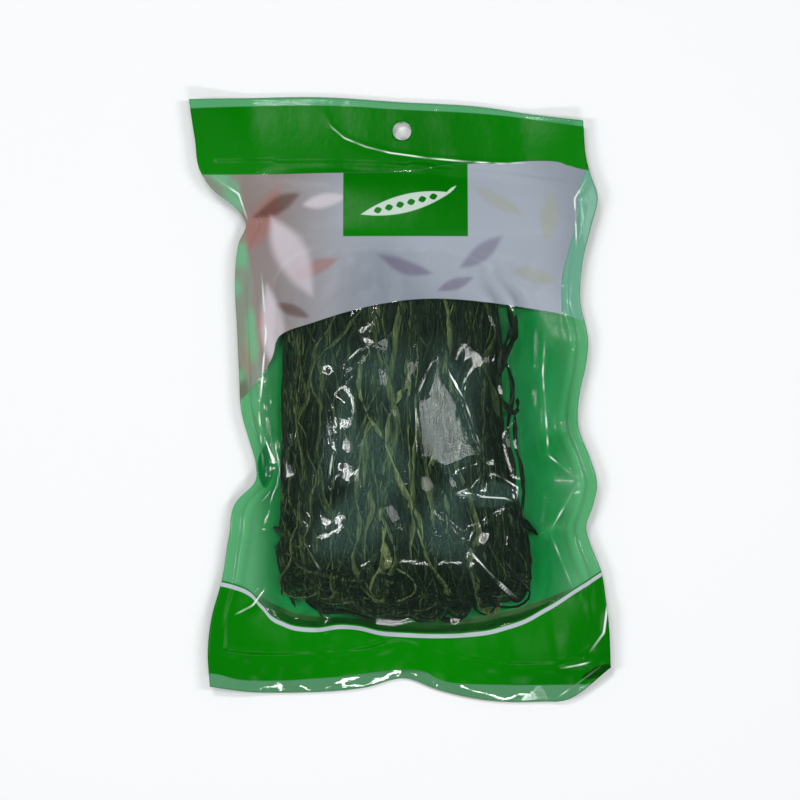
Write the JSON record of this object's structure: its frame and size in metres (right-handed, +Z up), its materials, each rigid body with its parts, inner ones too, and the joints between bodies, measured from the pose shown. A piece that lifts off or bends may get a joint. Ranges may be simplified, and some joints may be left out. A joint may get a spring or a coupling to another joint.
{
  "type": "pouch of dried yardlong beans",
  "caption": "Bunch of dried yardlong beans, folded over and sealed in a flat printed film pouch with a clear window and a header with a hang hole.",
  "frame": {"origin": "centre of the pouch's outline, on the surface that its back lies on", "axes": "+X across the pouch to its right edge seen from the front, +Y along its length to the header with the hang hole, +Z up out of its front"},
  "size_m": [0.1888, 0.2716, 0.0265],
  "materials": {
    "front_film": "clear glossy film, printed green at its two ends",
    "back_film": "glossy green printed film",
    "dried_bean": "dry, dark olive green, wrinkled"
  },
  "bodies": {
    "root": {"front_film": "front_film", "back_film": "back_film", "bean_bunch": "dried_bean"}
  },
  "joints": []
}
